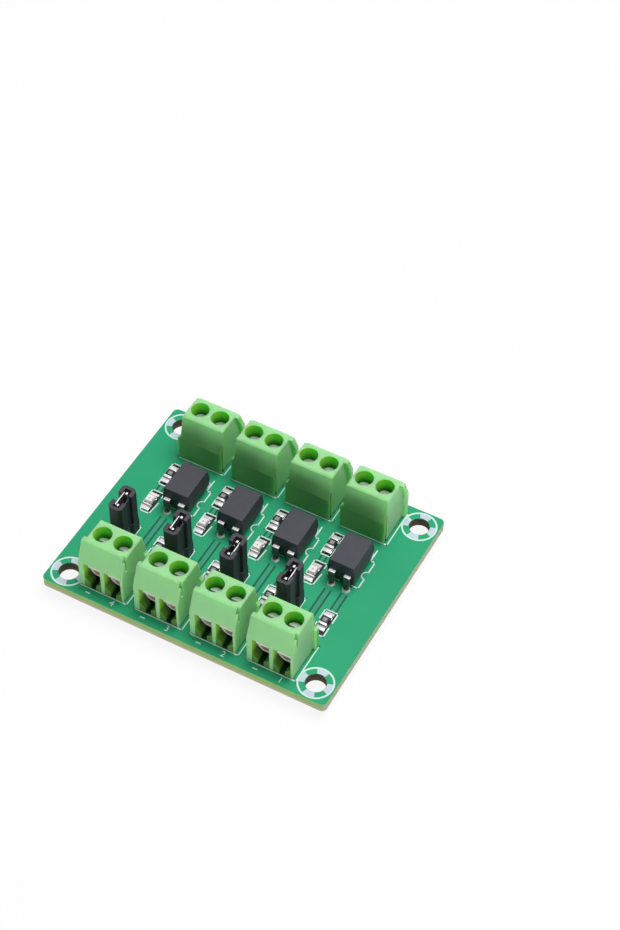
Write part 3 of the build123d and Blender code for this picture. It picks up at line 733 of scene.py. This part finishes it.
# Lines of channel 1, as points in millimetres: printed outlines first
TERMINAL_OUTLINES = (
    [(10.18, -17.7), (18.33, -17.7), (18.33, -10.6), (10.18, -10.6), (10.18, -17.7)],
    [(10.18, 18.0), (18.33, 18.0), (18.33, 10.9), (10.18, 10.9), (10.18, 18.0)],
)
COUPLER_OUTLINES = (
    [(16.1, 1.5), (18.35, 1.5), (18.35, 3.45)],
    [(18.35, 4.85), (18.35, 7.0), (17.6, 7.0), (17.6, 9.2)],
    [(13.15, 9.2), (13.15, 1.5), (15.2, 1.5)],
)
CHIP_OUTLINES = (
    [(10.2, 6.4), (10.2, 4.7), (11.95, 4.7), (11.95, 6.4)],
    [(10.2, 7.7), (10.2, 9.35), (11.95, 9.35), (11.95, 7.7)],
    [(15.95, -6.9), (15.95, -8.85), (18.05, -8.85), (18.05, -7.1)],
    [(15.95, -6.0), (15.95, -4.15), (18.05, -4.15), (18.05, -6.0)],
)
LED_OUTLINES = (
    [(10.15, 0.2), (10.15, 3.25), (12.2, 3.25), (12.2, 2.4)],
    [(10.15, 0.2), (10.5, -1.2), (12.1, -1.2), (12.35, 1.2)],
)
HEADER_OUTLINES = ([(12.5, -8.9), (12.5, -3.95), (12.2, -3.95)],)
INK_OUTLINES = (
    *TERMINAL_OUTLINES, *COUPLER_OUTLINES, *CHIP_OUTLINES, *LED_OUTLINES, *HEADER_OUTLINES
)

# Then the copper: the cleared lines beside its traces and the traces; then dark bars of painted
# shade beside each chip
TRACE_GAPS = (
    [(14.03, -0.9), (14.03, -10.4)],
    [(15.03, -0.9), (15.03, -10.4)],
    [(16.61, -0.6), (16.61, -4.0)],
    [(17.55, -0.6), (17.55, -4.0)],
    [(10.65, 3.35), (10.65, 4.6)],
    [(11.5, 3.35), (11.5, 4.6)],
)
TRACE_STRIPS = (
    [(14.53, -1.2), (14.53, -10.1)],
    [(17.08, -0.9), (17.08, -3.7)],
    [(11.08, 3.6), (11.08, 4.4)],
)
# Dark bars of painted shade beside each chip
CHIP_SHADES = (
    [(16.58, -4.75), (16.58, -8.25)],
    [(17.42, -4.75), (17.42, -8.25)],
    [(10.76, 5.3), (10.76, 8.75)],
    [(11.4, 5.3), (11.4, 8.75)],
    [(10.75, -0.45), (10.75, 2.65)],
    [(11.62, -0.45), (11.62, 2.65)],
)

# The half ring at each optocoupler's outline, its middle given in millimetres for channel 1
NOTCH_PLACE = (18.35, 4.15)
NOTCH_RADII = (0.7 * MM - INK_WIDTH / 2, 0.7 * MM + INK_WIDTH / 2)

# The minus sign and the figure in front of each output terminal
LABEL_Y = -18.55 * MM
LABEL_HEIGHT = 1.0 * MM
MINUS_X = -2.15 * MM
MINUS_REACH = 0.3 * MM
FIGURE_X = 2.05 * MM
FIGURE_SHARE = 0.69


def board_legend():
    """The printed outlines, rings and figures, and the tinned lands round the mounting holes."""
    pieces = []
    lands = []
    for channel in CHANNELS:
        for points in INK_OUTLINES:
            pieces += outline(shifted(points, channel))
        notch_x, notch_y = shifted([NOTCH_PLACE], channel)[0]
        pieces.append(sector(notch_x * MM, notch_y * MM, NOTCH_RADII, -math.pi / 2, math.pi))
        x = channel_x(channel)
        minus = [(x + MINUS_X + reach, LABEL_Y, 0) for reach in (-MINUS_REACH, MINUS_REACH)]
        pieces.append(bar(*minus, INK_WIDTH, INK_THICKNESS))
        pieces.append(figure(str(channel), x + FIGURE_X, LABEL_Y, LABEL_HEIGHT))
    for x in (-MOUNT_X, MOUNT_X):
        for y in (-MOUNT_Y, MOUNT_Y):
            pieces.append(ring(x, y, RING_RADIUS, RING_WIDTH))
            for index in range(LAND_COUNT):
                start = LAND_TURN / 2 + index * 2 * math.pi / LAND_COUNT
                lands.append(sector(x, y, LAND_RADII, start, LAND_TURN))
    joined("board_legend", pieces, "ink")
    joined("mounting_lands", lands, "mounting_land")


def on_every_channel(name, lines, width, thickness, finish):
    """Flat lines of one width, drawn for channel 1 and repeated on every channel."""
    pieces = []
    for channel in CHANNELS:
        for points in lines:
            pieces += outline(shifted(points, channel), width, thickness)
    joined(name, pieces, finish)


def copper_marks():
    """The dark cleared lines beside the traces, the traces, and dark bars of painted shade beside
    each chip.
    """
    on_every_channel("copper_gaps", TRACE_GAPS, GAP_WIDTH, GAP_THICKNESS, "copper_gap")
    on_every_channel("copper_strips", TRACE_STRIPS, STRIP_WIDTH, STRIP_THICKNESS, "copper_strip")
    on_every_channel("chip_shades", CHIP_SHADES, CHIP_SHADE_WIDTH, CHIP_SHADE_THICKNESS, "painted_chip_shade")


def shown_white(tree, shader, share):
    """Mixes plain white into a shader where it is seen directly, in metal or through glass."""
    path = tree.nodes.new("ShaderNodeLightPath")
    seen = path.outputs["Is Camera Ray"]
    for ray in ("Is Glossy Ray", "Is Transmission Ray"):
        either = tree.nodes.new("ShaderNodeMath")
        either.operation = "MAXIMUM"
        tree.links.new(seen, either.inputs[0])
        tree.links.new(path.outputs[ray], either.inputs[1])
        seen = either.outputs[0]
    scaled = tree.nodes.new("ShaderNodeMath")
    scaled.operation = "MULTIPLY"
    scaled.inputs[1].default_value = share
    tree.links.new(seen, scaled.inputs[0])
    white = tree.nodes.new("ShaderNodeEmission")
    mix = tree.nodes.new("ShaderNodeMixShader")
    for socket, source in enumerate((scaled, shader, white)):
        tree.links.new(source.outputs[0], mix.inputs[socket])
    return mix.outputs[0]


def studio():
    """A plain white floor, a wide lamp overhead, a small low fill in front and a pale world."""
    bpy.ops.mesh.primitive_plane_add(size=FLOOR_SIZE, location=(0, 0, FLOOR_HEIGHT))
    floor = active()
    floor.name = "floor"
    paper = Finish("paper", base_color=(0.95, 0.95, 0.95, 1), roughness=0.9)
    out = paper.tree.nodes["Material Output"].inputs["Surface"]
    paper.tree.links.new(shown_white(paper.tree, paper.surface, FLOOR_WHITE), out)
    floor.data.materials.append(paper.material)
    for place, size, power in (MAIN_LAMP, FILL_LAMP):
        bpy.ops.object.light_add(type="AREA", location=place)
        lamp = active()
        lamp.data.size = size
        lamp.data.energy = power
        lamp.rotation_euler = (-Vector(place)).to_track_quat("-Z", "Y").to_euler()
    world = bpy.data.worlds.new("studio")
    bpy.context.scene.world = world
    world.use_nodes = True
    light = world.node_tree.nodes["Background"]
    light.inputs["Color"].default_value = (1, 1, 1, 1)
    light.inputs["Strength"].default_value = WORLD_STRENGTH
    out = world.node_tree.nodes["World Output"].inputs["Surface"]
    world.node_tree.links.new(shown_white(world.node_tree, light, 1.0), out)


def camera():
    """The camera at the picture's place, aim and lens."""
    bpy.ops.object.camera_add(location=CAMERA_PLACE)
    made = active()
    aim = (Vector(CAMERA_AIM) - Vector(CAMERA_PLACE)).to_track_quat("-Z", "Y")
    made.rotation_euler = (aim.to_matrix() @ Matrix.Rotation(CAMERA_ROLL, 3, "Z")).to_euler()
    made.data.lens = CAMERA_LENS
    made.data.sensor_width = CAMERA_SENSOR
    made.data.clip_start = CAMERA_NEAR
    bpy.context.scene.camera = made


dress_nodes()
soften_pieces()
board_legend()
copper_marks()
studio()
camera()
bpy.context.scene.view_settings.view_transform = "Standard"
